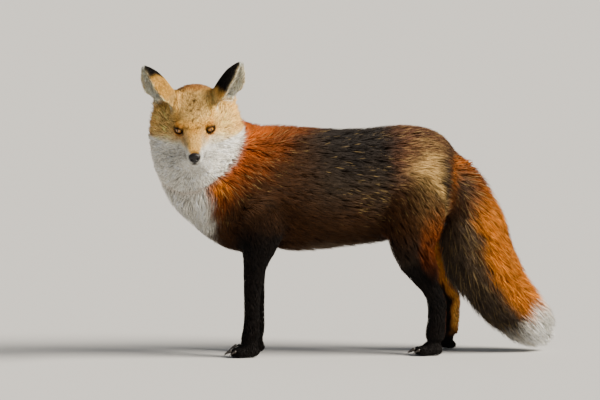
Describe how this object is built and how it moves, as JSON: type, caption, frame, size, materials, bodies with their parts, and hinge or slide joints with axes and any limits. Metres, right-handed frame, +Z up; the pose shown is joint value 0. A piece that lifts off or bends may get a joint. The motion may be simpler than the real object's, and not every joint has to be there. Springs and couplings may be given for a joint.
{
  "type": "red fox display model",
  "caption": "Standing red fox in full winter coat, its head turned to its left, as a life-size museum display model.",
  "frame": {"origin": "centre of the whole at floor level, between the feet", "axes": "+Z up, the fox's body faces -Y and its left side is +X"},
  "size_m": [0.2736, 0.7598, 0.5391],
  "materials": {
    "coat": "dense winter fur, rust, grizzled grey, black and white",
    "eye": "glossy amber eye with a black pupil",
    "nose_leather": "moist black, finely pebbled",
    "claw_horn": "dark horn, satin"
  },
  "bodies": {
    "root": {"chest": "coat", "claw_fore_left_1": "claw_horn", "claw_fore_left_2": "claw_horn", "claw_fore_left_3": "claw_horn", "claw_fore_left_4": "claw_horn", "claw_fore_right_1": "claw_horn", "claw_fore_right_2": "claw_horn", "claw_fore_right_3": "claw_horn", "claw_fore_right_4": "claw_horn", "claw_hind_left_1": "claw_horn", "claw_hind_left_2": "claw_horn", "claw_hind_left_3": "claw_horn", "claw_hind_left_4": "claw_horn", "claw_hind_right_1": "claw_horn", "claw_hind_right_2": "claw_horn", "claw_hind_right_3": "claw_horn", "claw_hind_right_4": "claw_horn", "ear_left": "coat", "ear_right": "coat", "eye_left": "eye", "eye_right": "eye", "foreleg_left": "coat", "foreleg_right": "coat", "forepaw_left": "coat", "forepaw_right": "coat", "head": "coat", "hindpaw_left": "coat", "hindpaw_right": "coat", "hock_left": "coat", "hock_right": "coat", "loin": "coat", "neck": "coat", "nose": "nose_leather", "rump": "coat", "shank_left": "coat", "shank_right": "coat", "tail_middle": "coat", "tail_root": "coat", "tail_tip": "coat", "thigh_left": "coat", "thigh_right": "coat"}
  },
  "joints": []
}
